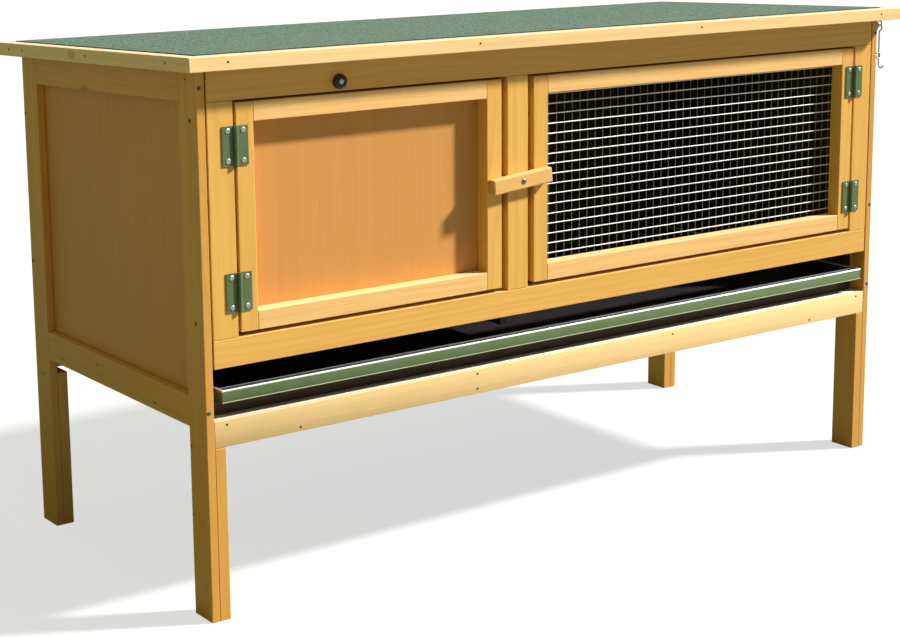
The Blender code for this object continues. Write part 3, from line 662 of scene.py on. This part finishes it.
class HUTCH_OT_felt(bpy.types.Operator):
    """Lay the roof felt, a little wavy and with a rough-cut edge"""

    bl_idname = "hutch.felt"
    bl_label = "Roof felt"

    def execute(self, context):
        relief = context.scene.hutch_sizes.felt_relief
        low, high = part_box("roof_felt")
        source = NODES["roof_felt"].data.vertices
        halfway = (low.y + high.y) / 2
        front = max(v.co.z for v in source if v.co.y < halfway)
        rear = max(v.co.z for v in source if v.co.y > halfway)
        across, along = 190, 78
        inset, rough_cut, thickness = 0.0009, 0.0011, 0.0020
        flat_margin = 1 / 14
        work = bmesh.new()
        sheet = []
        for row in range(along + 1):
            line = []
            for column in range(across + 1):
                s, t = column / across, row / along
                x = low.x + inset + (high.x - low.x - 2 * inset) * s
                y = low.y + inset + (high.y - low.y - 2 * inset) * t
                if column in (0, across):
                    x += rough_cut * noise.noise(Vector((t * 41.0, 7.3, 1.7)))
                if row in (0, along):
                    y += rough_cut * noise.noise(Vector((s * 93.0, 2.1, 5.9)))
                # The sheet waves in the middle and lies flat at its edges.
                inside = min(1.0, min(s, 1 - s, t, 1 - t) / flat_margin)
                swell = 0.5 * noise.noise(Vector((x * 9.0, y * 7.0, 0.4)))
                ripple = 0.22 * noise.noise(Vector((x * 60.0, y * 60.0, 3.4)))
                fall = (front - rear) * (y - low.y) / (high.y - low.y)
                line.append(work.verts.new((x, y, front - fall + relief * (swell + ripple) * inside)))
            sheet.append(line)
        for near, far in zip(sheet, sheet[1:]):
            for column in range(across):
                work.faces.new((near[column], near[column + 1], far[column + 1], far[column]))
        skirt = bmesh.ops.extrude_face_region(work, geom=work.faces[:])
        moved = [item for item in skirt["geom"] if isinstance(item, bmesh.types.BMVert)]
        bmesh.ops.translate(work, verts=moved, vec=(0, 0, -thickness))
        finish = felt_finish(context.scene.hutch_colours.felt)
        piece = add_piece("felt_sheet", mesh_from(work, "felt_sheet"), finish, "roof")
        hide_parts("roof_felt")
        return {"FINISHED"}


class HUTCH_OT_bottom_rail(bpy.types.Operator):
    """Build the bottom rail from its front board and the batten behind it"""

    bl_idname = "hutch.bottom_rail"
    bl_label = "Bottom rail"

    def execute(self, context):
        colours, sizes = context.scene.hutch_colours, context.scene.hutch_sizes
        low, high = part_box("front_bottom_rail")
        split = low.y + sizes.front_board
        seam, step = 0.0012, 0.0004
        board = block(low, (high.x, split, high.z), 0.0010)
        board_finish = timber("rail_timber", colours.pale_timber, "X", 0.45)
        rail = add_piece("bottom_rail_board", board, board_finish, "hutch_body")
        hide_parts("front_bottom_rail")
        batten = block((low.x, split + seam, low.z + step), (high.x, high.y, high.z), 0.0008)
        # The batten is partly its own pale tone and partly painted light on its top, which the tray shades.
        batten_finish = timber("batten_timber_and_light", colours.batten_timber_and_light, "X", 0.6)
        add_piece("bottom_rail_batten", batten, batten_finish, "hutch_body")
        return {"FINISHED"}


class HUTCH_OT_tray(bpy.types.Operator):
    """Fold the pull-out tray from sheet metal, with a wide front lip and a rolled rim"""

    bl_idname = "hutch.tray"
    bl_label = "Tray"

    def execute(self, context):
        colours, sizes = context.scene.hutch_colours, context.scene.hutch_sizes
        sheet = sizes.tray_sheet
        low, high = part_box("tray")
        # How far back the front lip reaches, how far its edge turns down, and the radius of the rolled rim.
        lip, turned_down, bead = 0.0140, 0.0060, 0.0014
        top = high.z - bead
        near, far = low.y + sheet, high.y - sheet
        left, right = low.x + sheet, high.x - sheet
        lip_y = low.y + lip
        paint = colours.green_paint
        face = block(low, (high.x, near, top), 0.0005)
        tray = add_piece("tray_front", face, paint_finish("green_enamel", paint), "tray")
        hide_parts("tray")
        # The inside of the tray is painted near black, as painted shade.
        dark = paint_finish("painted_shade_enamel", colours.tray_inside)
        walls = [
            block((low.x, near, low.z), (left, high.y, top), 0.0005),
            block((right, near, low.z), (high.x, high.y, top), 0.0005),
            block((low.x, far, low.z), (high.x, high.y, top), 0.0005),
        ]
        # The side and back walls are the green at 0.45, painted shade on the same paint.
        shaded = paint_finish("shaded_side_enamel", shade(paint, (0.45, 0.45, 0.45))[:3])
        add_piece("tray_walls", joined(walls, "tray_walls"), shaded, "tray")
        lip_z = high.z - 2 * bead
        lining = sheet / 2
        inside = [
            block((left, near, low.z), (right, far, low.z + sheet), 0.0004),
            block((left, near, lip_z), (right, lip_y, lip_z + sheet), 0.0005),
            block((left, lip_y - sheet, high.z - turned_down), (right, lip_y, top), 0.0004),
        ]
        for x in (left, right - lining):
            inside.append(block((x, lip_y, low.z + sheet), (x + lining, far, top), 0.0002))
        add_piece("tray_inside", joined(inside, "tray_inside"), dark, "tray")
        # The rim is a rolled bead round the top, near white as a painted highlight, and a thin hem under the
        # front, coloured pale grey.
        front, back = low.y + bead * 0.8, high.y - bead
        rim_left, rim_right = low.x + bead, high.x - bead
        rolled = [tube([(low.x, front, top), (high.x, front, top)], bead, 14)]
        for x in (rim_left, rim_right):
            rolled.append(tube([(x, front, top), (x, back, top)], bead, 10))
        rolled.append(tube([(rim_left, back, top), (rim_right, back, top)], bead, 10))
        add_piece("tray_rim", joined(rolled, "tray_rim"), bare_metal("painted_highlight_rim"), "tray")
        hem_y, hem_z = low.y + 0.0003, low.z + 0.0006
        hem = tube([(low.x, hem_y, hem_z), (high.x, hem_y, hem_z)], 0.0007)
        add_piece("tray_hem", hem, bare_metal("pale_hem"), "tray")
        # The lip's inner edge is a grey line, a painted highlight.
        lip_edge = tube([(rim_left, lip_y, top), (rim_right, lip_y, top)], 0.0006)
        add_piece("tray_lip_edge", lip_edge, bare_metal("painted_highlight_lip"), "tray")
        return {"FINISHED"}


class HUTCH_OT_wire_mesh(bpy.types.Operator):
    """Weave the right door's welded wire and staple it to the frame"""

    bl_idname = "hutch.wire_mesh"
    bl_label = "Wire mesh"

    # One level wire and one upright wire lie here, and the others follow from them.
    LEVEL_WIRE_Z, UPRIGHT_WIRE_X = 0.3613, -0.0379
    LEVEL_BOW, UPRIGHT_BOW = 0.00025, 0.0002

    def execute(self, context):
        sizes = context.scene.hutch_sizes
        radius, thin = sizes.level_wire / 2, sizes.upright_wire / 2
        low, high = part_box("right_door_wire_mesh")
        front_y = low.y + radius
        rear_y = front_y + radius + thin * 0.7
        wires, uprights = [], []
        level_places = self.row(self.LEVEL_WIRE_Z, low.z + radius, high.z - radius, sizes.wire_pitch)
        for index, z in enumerate(level_places):
            bow = random.uniform(-self.LEVEL_BOW, self.LEVEL_BOW) * Z
            wires.append(self.wavy_wire((low.x, front_y, z), (high.x, front_y, z), bow, index, 12, radius))
        upright_places = self.row(self.UPRIGHT_WIRE_X, low.x + radius, high.x - radius, sizes.wire_pitch)
        for index, x in enumerate(upright_places):
            bow = random.uniform(-self.UPRIGHT_BOW, self.UPRIGHT_BOW) * X
            uprights.append(self.wavy_wire((x, rear_y, low.z), (x, rear_y, high.z), bow, index, 6, thin))
        # Level wires get the lit copy and uprights and staples the shaded copy of one wire: painted light and
        # painted shade.
        wire, dimmed = bare_metal("painted_lit_wire"), bare_metal("painted_shade_wire")
        piece = add_piece("welded_wire", joined(wires, "welded_wire"), wire, "right_door")
        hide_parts("right_door_wire_mesh")
        add_piece("upright_wires", joined(uprights, "upright_wires"), dimmed, "right_door")
        staples = []
        margin = 0.0045
        for z in (low.z + margin, high.z - margin):
            for x in spread(low.x + 0.03, high.x - 0.03, 9):
                staples.append(self.staple(Vector((x, high.y, z)), X))
        for x in (low.x + margin, high.x - margin):
            for z in spread(low.z + 0.04, high.z - 0.04, 4):
                staples.append(self.staple(Vector((x, high.y, z)), Z))
        add_piece("mesh_staples", joined(staples, "mesh_staples"), dimmed, "right_door")
        return {"FINISHED"}

    def row(self, known, low, high, pitch):
        """The places of wires from low to high, a pitch apart, with one of them at a known place."""
        first = known - pitch * math.floor((known - low) / pitch)
        return [first + pitch * index for index in range(int((high - first) / pitch) + 1)]

    def wavy_wire(self, start, end, bow, phase, steps, radius):
        """A wire that snakes once about its line. bow says how far and which way."""
        start, end = Vector(start), Vector(end)
        places = [step / steps for step in range(steps + 1)]
        return tube([start.lerp(end, s) + bow * math.sin(math.tau * s + phase) for s in places], radius)

    def staple(self, crown, along):
        """A wire staple whose crown lies over the wires and whose legs run forward into the wood."""
        half, reach, radius, bend = 0.0045, 0.0045, 0.0005, 0.0006
        crown = crown + Vector((0, 0.0001, 0))
        points = [
            crown - along * half - Y * reach,
            crown - along * half - Y * bend,
            crown - along * (half - bend),
            crown + along * (half - bend),
            crown + along * half - Y * bend,
            crown + along * half - Y * reach,
        ]
        return tube(points, radius, 6)


class HUTCH_OT_hinge_screws(bpy.types.Operator):
    """Screw the door and roof hinges down"""

    bl_idname = "hutch.hinge_screws"
    bl_label = "Hinge screws"

    # How thick a leaf is, and how far its screws lie from its middle along the pin.
    LEAF_THICKNESS, SCREW_REACH = 0.0012, 0.0168

    def execute(self, context):
        radius = context.scene.hutch_sizes.hinge_screw_radius
        zinc = bare_metal("screw_zinc")
        head = cross_head(radius, 0.0012)
        fixed = []
        for door in ("left", "right"):
            pin_x = JOINTS[f"{door}_door_hinge"]["pos_m"][0]
            moving = []
            for level in ("upper", "lower"):
                for leaf, group in (("frame_leaf", fixed), ("door_leaf", moving)):
                    node = f"{door}_door_{level}_hinge_{leaf}"
                    low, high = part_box(node)
                    outer = low.x if abs(low.x - pin_x) > abs(high.x - pin_x) else high.x
                    x = pin_x + (outer - pin_x) * 0.60
                    face = high.y - self.LEAF_THICKNESS
                    places = [(x, face, middle(node).z + side * self.SCREW_REACH) for side in (1, -1)]
                    group += scattered(head, places, -Y)
            add_piece(f"{door}_door_hinge_screws", joined(moving, "screws"), zinc, f"{door}_door")
        # The roof leaves lie against the sloping underside of the roof board.
        flat_head = cross_head(radius, 0.0007)
        under = Vector((0, -ROOF_FALL, -1)).normalized()
        pin = Vector(JOINTS["roof_hinge"]["pos_m"])
        roof = []
        for word in ("left", "right"):
            low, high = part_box(f"roof_hinge_{word}_frame_leaf")
            screw_x = [(low.x + high.x) / 2 + side * self.SCREW_REACH for side in (-1, 1)]
            face = low.y + self.LEAF_THICKNESS
            fixed += scattered(head, [(x, face, low.z + 0.0065) for x in screw_x], Y)
            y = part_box(f"roof_hinge_{word}_roof_leaf")[0].y + 0.0045
            z = pin.z + 0.0013 - (y - pin.y) * ROOF_FALL
            roof += scattered(flat_head, [(x, y, z) for x in screw_x], under)
        add_piece("frame_hinge_screws", joined(fixed, "screws"), zinc, "hutch_body")
        add_piece("roof_hinge_screws", joined(roof, "screws"), zinc, "roof")
        return {"FINISHED"}


class HUTCH_OT_frame_screws(bpy.types.Operator):
    """Put the screws and brads in the frame, the legs and the roof edge"""

    bl_idname = "hutch.frame_screws"
    bl_label = "Frame screws and brads"

    # Heights on the front and rear edges of the sides.
    FRONT_LEFT_SCREWS = (0.6093, 0.2465)
    FRONT_RIGHT_SCREWS = (0.6093, 0.3629, 0.2456)
    REAR_SCREWS = (0.595, 0.2220)
    # Depth and height on each side.
    SIDE_SCREWS = ((-0.2040, 0.5726), (-0.2033, 0.3464), (0.2259, 0.5358), (0.2250, 0.3464))
    SIDE_BRADS = (
        (-0.1965, 0.6172), (-0.1840, 0.2007), (-0.1840, 0.1200), (0.2100, 0.2007), (0.2100, 0.1200),
        (-0.0982, 0.2316), (0.0500, 0.2460), (0.1500, 0.2316),
    )
    # Distance from the middle and height on the bottom rail.
    RAIL_BRADS = (
        (-0.5162, 0.2297), (-0.4206, 0.2090), (-0.1666, 0.2294), (-0.1666, 0.2104),
        (0.1580, 0.2293), (0.4206, 0.2090), (0.5162, 0.2297),
    )
    ROOF_BRADS_X = (-0.5184, -0.1823, 0.1733, 0.5165)
    ROOF_BRADS_Y = (-0.1955, 0.0000, 0.1747, 0.2146)

    def execute(self, context):
        sizes = context.scene.hutch_sizes
        screw = cross_head(sizes.frame_screw_radius, 0.0009)
        brad = brad_head(sizes.brad_radius, 0.0004)
        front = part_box("side_stile_front_left")[0].y
        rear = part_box("side_stile_rear_left")[1].y
        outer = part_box("side_stile_front_right")[1].x
        edge_x = outer - 0.0035
        screws = scattered(screw, [(-edge_x, front, z) for z in self.FRONT_LEFT_SCREWS], -Y)
        screws += scattered(screw, [(edge_x, front, z) for z in self.FRONT_RIGHT_SCREWS], -Y)
        brads, roof_brads = [], []
        for side in (-1, 1):
            screws += scattered(screw, [(side * outer, y, z) for y, z in self.SIDE_SCREWS], side * X)
            brads += scattered(brad, [(side * outer, y, z) for y, z in self.SIDE_BRADS], side * X)
            screws += scattered(screw, [(side * edge_x, rear, z) for z in self.REAR_SCREWS], Y)
        brads += scattered(brad, [(x, front, z) for x, z in self.RAIL_BRADS], -Y)
        back_places = [(x, rear, z) for x in spread(-0.5, 0.5, 5) for z in (0.2200, 0.5920)]
        brads += scattered(brad, back_places, Y)
        # The roof's edge strips are nailed a little below their tops.
        low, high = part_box("fascia_front")[0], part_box("fascia_rear")[1]
        top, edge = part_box("fascia_front")[1].z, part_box("fascia_right")[1].x
        side_low, side_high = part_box("fascia_left")
        slope = (high.z - top) / (side_high.y - side_low.y)
        roof_brads += scattered(brad, [(x, low.y + 0.0004, top - 0.0070) for x in self.ROOF_BRADS_X], -Y)
        roof_brads += scattered(brad, [(x, high.y - 0.0008, high.z - 0.0078) for x in self.ROOF_BRADS_X], Y)
        for side in (-1, 1):
            places = [(side * edge, y, top + slope * (y - low.y) - 0.0078) for y in self.ROOF_BRADS_Y]
            roof_brads += scattered(brad, places, side * X)
        zinc, steel = bare_metal("frame_screw_steel"), bare_metal("brad_steel")
        add_piece("frame_screws", joined(screws, "screws"), zinc, "hutch_body")
        add_piece("frame_brads", joined(brads, "brads"), steel, "hutch_body")
        add_piece("roof_brads", joined(roof_brads, "brads"), steel, "roof")
        return {"FINISHED"}


class HUTCH_OT_fittings(bpy.types.Operator):
    """Add the latch's pivot screw, the bumper's screw and the eye that the roof hook drops into"""

    bl_idname = "hutch.fittings"
    bl_label = "Latch screw, bumper screw and catch eye"

    def execute(self, context):
        sunk = 0.00005
        pivot = JOINTS["turn_latch_pivot"]["pos_m"]
        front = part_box("turn_latch")[0].y
        latch = scattered(cross_head(0.0034, 0.0013), [(pivot[0], front - sunk, pivot[2])], -Y)
        add_piece("latch_screw", joined(latch, "screw"), bare_metal("worn_zinc"), "turn_latch")
        centre = middle("front_bumper")
        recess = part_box("front_bumper")[0].y + 0.0016
        bumper = scattered(cross_head(0.0033, 0.0010), [(centre.x, recess - sunk, centre.z)], -Y)
        add_piece("bumper_screw", joined(bumper, "screw"), bare_metal("fitting_zinc"), "hutch_body")
        wall, eye_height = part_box("side_stile_front_right")[1].x, 0.5765
        eye = self.screw_eye(wall, middle("roof_hook").y - 0.001, eye_height)
        add_piece("catch_eye", eye, bare_metal("eye_zinc"), "hutch_body")
        return {"FINISHED"}

    def screw_eye(self, wall, y, z):
        """A screw eye whose stem runs into a wall that faces +X."""
        radius, wire, buried, neck = 0.0040, 0.0010, 0.004, 0.0030
        sweep, twist, steps = math.radians(318), 0.0004, 18
        centre = Vector((wall + neck + 0.0012 + radius, y, z))
        points = [Vector((wall - buried, y, z)), Vector((wall + neck, y, z))]
        for s in spread(0.0, 1.0, steps + 1):
            angle = math.pi + sweep * s
            points.append(centre + Vector((radius * math.cos(angle), twist * s, radius * math.sin(angle))))
        collar = lathe([(0, 0.0008), (0.0019, 0.0008), (0.0023, 0.0004), (0.0023, 0.0), (0, 0.0)], 16)
        turn = X.to_track_quat("Z", "Y").to_matrix().to_4x4()
        collar.transform(Matrix.Translation((wall, y, z)) @ turn)
        return joined([tube(points, wire, 10), collar], "screw_eye")


class HUTCH_OT_stage(bpy.types.Operator):
    """Set the floor, the lights and the camera"""

    bl_idname = "hutch.stage"
    bl_label = "Stage"

    KEY_FROM = (0.688, -0.388, 0.613)
    CAMERA_PLACE = (-1.53395, -2.05717, 0.85780)
    HEADING, PITCH, ROLL = math.radians(38.570), math.radians(-10.898), math.radians(0.1275)
    FOCAL_LENGTH, SHIFT = 76.93, (-0.10, -0.105)

    def execute(self, context):
        scene = context.scene
        self.make_floor(scene)
        self.make_key(scene)
        self.make_world(scene, scene.hutch_stage.fill_strength)
        self.make_camera(scene)
        scene.view_settings.view_transform = "Standard"
        scene.view_settings.look = "None"
        return {"FINISHED"}

    def make_key(self, scene):
        """One soft warm lamp, high at the right front."""
        settings = scene.hutch_stage
        key = bpy.data.lights.new("key_light", "SUN")
        key.energy, key.angle, key.color = settings.key_strength, settings.key_softness, (1.0, 0.965, 0.92)
        lamp = bpy.data.objects.new("key_light", key)
        lamp.rotation_mode = "QUATERNION"
        lamp.rotation_quaternion = Vector(self.KEY_FROM).to_track_quat("Z", "Y")
        scene.collection.objects.link(lamp)

    def make_camera(self, scene):
        """A camera at the left front, which looks along HEADING, measured from +Y towards +X, and PITCH."""
        lens = bpy.data.cameras.new("camera")
        lens.lens, lens.sensor_width = self.FOCAL_LENGTH, 36.0
        lens.shift_x, lens.shift_y = self.SHIFT
        lens.clip_start, lens.clip_end = 0.05, 60.0
        camera = bpy.data.objects.new("camera", lens)
        camera.rotation_mode = "QUATERNION"
        flat_ahead = Vector((math.sin(self.HEADING), math.cos(self.HEADING), 0.0))
        ahead = flat_ahead * math.cos(self.PITCH) + Z * math.sin(self.PITCH)
        level = flat_ahead.cross(Z)
        across = math.cos(self.ROLL) * level + math.sin(self.ROLL) * level.cross(ahead)
        turn = Matrix((across, across.cross(ahead), -ahead)).transposed()
        camera.rotation_quaternion = turn.to_quaternion()
        camera.location = self.CAMERA_PLACE
        scene.collection.objects.link(camera)
        scene.camera = camera

    def make_floor(self, scene):
        """A wide pale floor that shows soft shadows and throws little light back."""
        work = bmesh.new()
        bmesh.ops.create_circle(work, cap_ends=True, segments=96, radius=30.0)
        bmesh.ops.translate(work, verts=work.verts, vec=(0, 0, -0.0002))
        mesh = mesh_from(work, "floor")
        floor = bpy.data.objects.new("floor", mesh)
        scene.collection.objects.link(floor)
        material, tree, shader = new_material("pale_floor")
        seen = add(tree, "LightPath").outputs["Is Camera Ray"]
        mottle = cloud(tree, add(tree, "TexCoord").outputs["Object"], 3.0, 2.0)
        pale = mixed(tree, ranged(tree, mottle, 0.3, 0.7), (0.90, 0.90, 0.90, 1), (0.94, 0.94, 0.94, 1))
        tree.links.new(mixed(tree, seen, (0.24, 0.26, 0.20, 1), pale), shader.inputs["Base Color"])
        shader.inputs["Roughness"].default_value = 0.8
        glow = add(tree, "Emission", {"Color": (1, 1, 1, 1), "Strength": 0.98})
        output = tree.nodes["Material Output"]
        glowing = calc(tree, "MULTIPLY", seen, 0.66)
        share = add(tree, "MixShader", {0: glowing, 1: shader.outputs[0], 2: glow.outputs[0]})
        tree.links.new(share.outputs[0], output.inputs["Surface"])
        mesh.materials.append(material)

    def make_world(self, scene, strength):
        """Even light from all round, seen as near white."""
        world = bpy.data.worlds.new("studio")
        scene.world = world
        world.use_nodes = True
        tree = world.node_tree
        background = tree.nodes["Background"]
        seen = add(tree, "LightPath").outputs["Is Camera Ray"]
        # The light is greener from the left and bluer from the right, like a garden under open sky.
        direction = add(tree, "TexCoord").outputs["Generated"]
        side = add(tree, "SeparateXYZ", {0: direction}).outputs["X"]
        tint = mixed(tree, ranged(tree, side, -1.0, 1.0), (1.10, 1.38, 0.42, 1), (0.76, 0.62, 1.18, 1))
        tree.links.new(mixed(tree, seen, tint, (1, 1, 1, 1)), background.inputs["Color"])
        tree.links.new(ranged(tree, seen, 0.0, 1.0, strength, 1.0), background.inputs["Strength"])


OPERATORS = (
    HUTCH_OT_timber,
    HUTCH_OT_metal,
    HUTCH_OT_felt,
    HUTCH_OT_bottom_rail,
    HUTCH_OT_tray,
    HUTCH_OT_wire_mesh,
    HUTCH_OT_hinge_screws,
    HUTCH_OT_frame_screws,
    HUTCH_OT_fittings,
    HUTCH_OT_stage,
)


class HUTCH_PT_panel(bpy.types.Panel):
    """Lists the hutch's settings and operators"""

    bl_idname = "HUTCH_PT_panel"
    bl_label = "Rabbit hutch"
    bl_space_type = "VIEW_3D"
    bl_region_type = "UI"
    bl_category = "Hutch"

    def draw(self, context):
        layout = self.layout
        for group in (context.scene.hutch_colours, context.scene.hutch_sizes, context.scene.hutch_stage):
            box = layout.box()
            for key in group.bl_rna.properties.keys():
                if key not in ("rna_type", "name"):
                    box.prop(group, key)
        for operator in OPERATORS:
            layout.operator(operator.bl_idname)


CLASSES = (HutchColours, HutchSizes, HutchStage, *OPERATORS, HUTCH_PT_panel)


def register():
    """Registers the classes and hangs the settings on the scene."""
    for item in CLASSES:
        bpy.utils.register_class(item)
    bpy.types.Scene.hutch_colours = PointerProperty(type=HutchColours)
    bpy.types.Scene.hutch_sizes = PointerProperty(type=HutchSizes)
    bpy.types.Scene.hutch_stage = PointerProperty(type=HutchStage)


def unregister():
    """Takes the settings and the classes away again."""
    del bpy.types.Scene.hutch_stage
    del bpy.types.Scene.hutch_sizes
    del bpy.types.Scene.hutch_colours
    for item in reversed(CLASSES):
        bpy.utils.unregister_class(item)


def main():
    """Builds the whole scene."""
    register()
    random.seed(11)
    bpy.ops.hutch.timber()
    bpy.ops.hutch.metal()
    bpy.ops.hutch.felt()
    bpy.ops.hutch.bottom_rail()
    bpy.ops.hutch.tray()
    bpy.ops.hutch.wire_mesh()
    bpy.ops.hutch.hinge_screws()
    bpy.ops.hutch.frame_screws()
    bpy.ops.hutch.fittings()
    bpy.ops.hutch.stage()
    bpy.context.view_layer.update()


if __name__ == "__main__":
    main()
